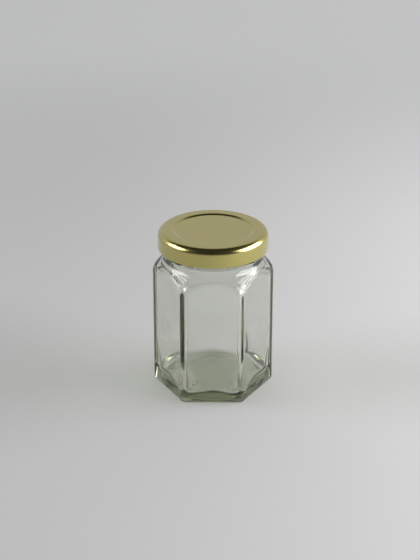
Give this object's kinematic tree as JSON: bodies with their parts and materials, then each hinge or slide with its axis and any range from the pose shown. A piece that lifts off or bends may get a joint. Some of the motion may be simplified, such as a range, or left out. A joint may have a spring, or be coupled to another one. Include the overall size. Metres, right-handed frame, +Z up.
{
  "type": "hexagonal glass jar",
  "caption": "Empty hexagonal preserving jar of clear glass with a round neck, shut by a gold metal twist-off lid.",
  "frame": {"origin": "middle of the footprint, on the surface the jar stands on", "axes": "+Z up through the middle of the lid; one flat side faces -Y and two upright corners point along +X and -X"},
  "size_m": [0.0556, 0.0506, 0.0777],
  "materials": {
    "glass": "clear flint glass, polished, faintly green in the thick base",
    "gold_lid": "glossy gold lacquer on tinplate"
  },
  "bodies": {
    "root": {"glass_jar": "glass", "metal_lid": "gold_lid"}
  },
  "joints": []
}
